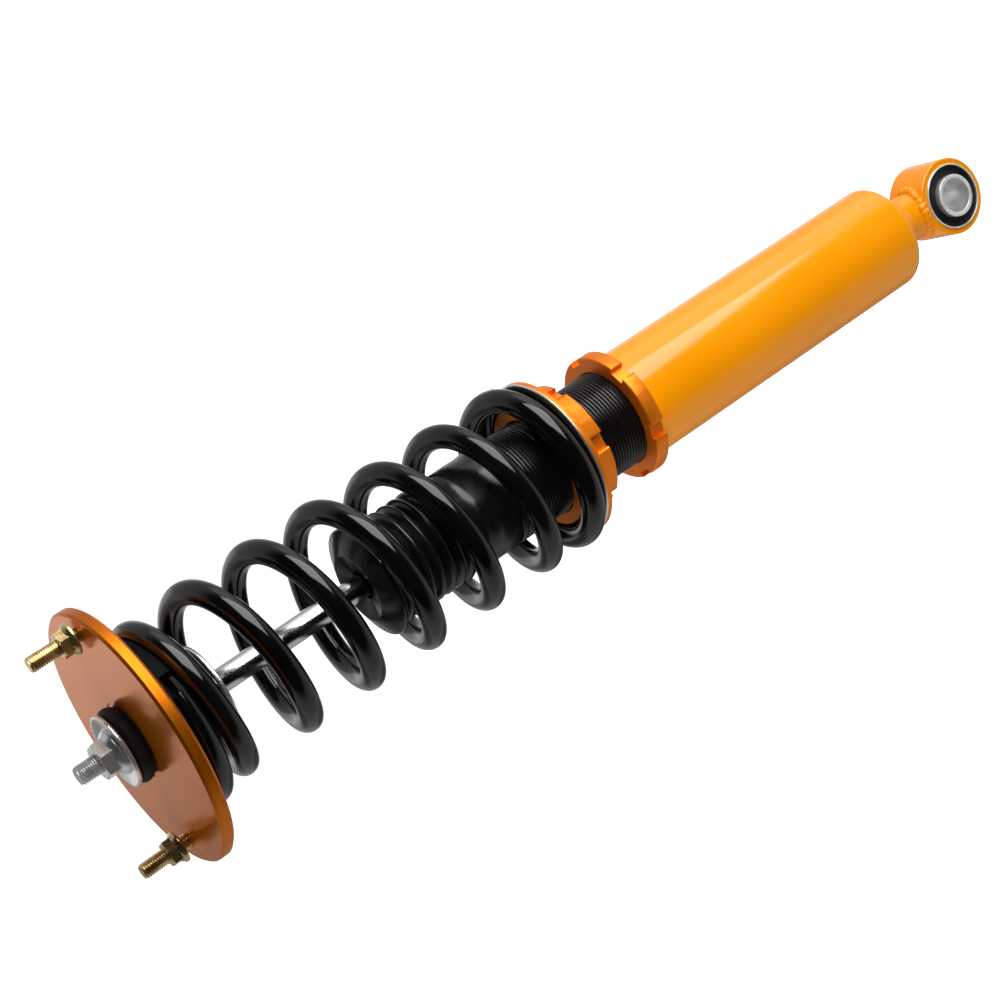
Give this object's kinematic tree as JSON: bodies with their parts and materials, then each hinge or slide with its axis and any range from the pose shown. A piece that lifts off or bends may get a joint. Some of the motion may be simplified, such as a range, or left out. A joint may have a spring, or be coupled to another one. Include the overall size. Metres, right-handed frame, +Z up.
{
  "type": "coilover",
  "caption": "Adjustable coil-over damper: studded top mount, coil spring, chrome rod with boot, threaded body with castellated perch and collar, bushed lower eye.",
  "frame": {"origin": "centre of the top plate's upper face, on the damper's axis", "axes": "+Z up the damper's axis, out of the top plate; +X through the first stud"},
  "size_m": [0.137, 0.137, 0.6127],
  "materials": {
    "anodised_plate": "turned and orange anodised",
    "anodised_ring": "satin orange anodised",
    "yellow_zinc": "yellow zinc plated",
    "bright_zinc": "bright zinc plated",
    "plain_steel": "machined",
    "plain_aluminium": "machined",
    "bearing_bronze": "sintered",
    "bearing_plastic": "smooth",
    "chrome_rod": "hard chromed and ground",
    "black_rubber": "moulded",
    "black_boot_rubber": "satin moulded",
    "black_plastic": "satin",
    "black_spring_coat": "gloss powder coat",
    "black_body_coat": "black coated thread",
    "orange_paint": "gloss paint"
  },
  "bodies": {
    "top_mount": {"top_plate": "anodised_plate", "mounting_studs": "yellow_zinc", "stud_nuts": "yellow_zinc", "upper_bush": "black_rubber", "top_washer": "bright_zinc", "rod_nut": "bright_zinc", "spacer_sleeve": "plain_steel", "lower_bush": "black_rubber", "lower_washer": "bright_zinc", "upper_spring_seat": "black_plastic", "main_spring": "black_spring_coat", "piston_rod": "chrome_rod", "rebound_stop": "black_rubber", "piston": "plain_aluminium", "piston_band": "bearing_plastic", "piston_shims": "plain_steel", "piston_nut": "plain_steel"},
    "damper_body": {"damper_tube": "black_body_coat", "base_plug": "plain_steel", "rod_guide": "plain_aluminium", "guide_o_ring": "black_rubber", "guide_bush": "bearing_bronze", "rod_seal": "black_rubber", "seal_circlip": "plain_steel", "bump_cap": "black_plastic", "bump_stop": "black_rubber", "dust_boot": "black_boot_rubber"},
    "gas_piston": {"floating_piston": "plain_aluminium", "floating_piston_ring": "black_rubber"},
    "perch_seat": {"spring_isolator": "black_plastic"},
    "perch": {"spring_perch": "anodised_ring"},
    "lower_mount": {"lower_tube": "orange_paint", "eye_neck": "orange_paint", "weld_beads": "orange_paint", "eye_tube": "orange_paint", "bush_outer_sleeve": "bright_zinc", "bush_rubber": "black_rubber"},
    "collar": {"lock_collar": "anodised_ring"},
    "eye_sleeve": {"bush_inner_sleeve": "bright_zinc"}
  },
  "joints": [
    {"name": "stroke", "type": "slide", "parent": "top_mount", "child": "damper_body", "axis": [0, 0, 1], "range_m": [0, 0.08], "stiffness_N_per_m": 74000, "deforming": ["main_spring"]},
    {"name": "gas_piston_slide", "type": "slide", "parent": "damper_body", "child": "gas_piston", "axis": [0, 0, 1], "range_m": [-0.0062, 0.0002]},
    {"name": "perch_height", "type": "slide", "parent": "damper_body", "child": "perch_seat", "axis": [0, 0, -1], "range_m": [0, 0.012]},
    {"name": "perch_turn", "type": "hinge", "parent": "perch_seat", "child": "perch", "pos_m": [0, 0, -0.27], "axis": [0, 0, -1], "range_deg": [-2, 2162]},
    {"name": "ride_height", "type": "slide", "parent": "damper_body", "child": "lower_mount", "axis": [0, 0, -1], "range_m": [-0.012, 0.03]},
    {"name": "collar_turn", "type": "hinge", "parent": "lower_mount", "child": "collar", "pos_m": [0, 0, -0.3082], "axis": [0, 0, -1], "range_deg": [-2162, 5402]},
    {"name": "eye_bush_twist", "type": "hinge", "parent": "lower_mount", "child": "eye_sleeve", "pos_m": [0, 0, -0.56], "axis": [0.1262, -0.992, 0], "range_deg": [-15, 15], "stiffness_Nm_per_rad": 60}
  ],
  "couplings": [
    {"joint": "gas_piston_slide", "follows": "stroke", "ratio": -0.0738},
    {"joint": "perch_turn", "follows": "perch_height", "rad_per_m": 3141.6},
    {"joint": "collar_turn", "follows": "ride_height", "rad_per_m": 3141.6}
  ]
}
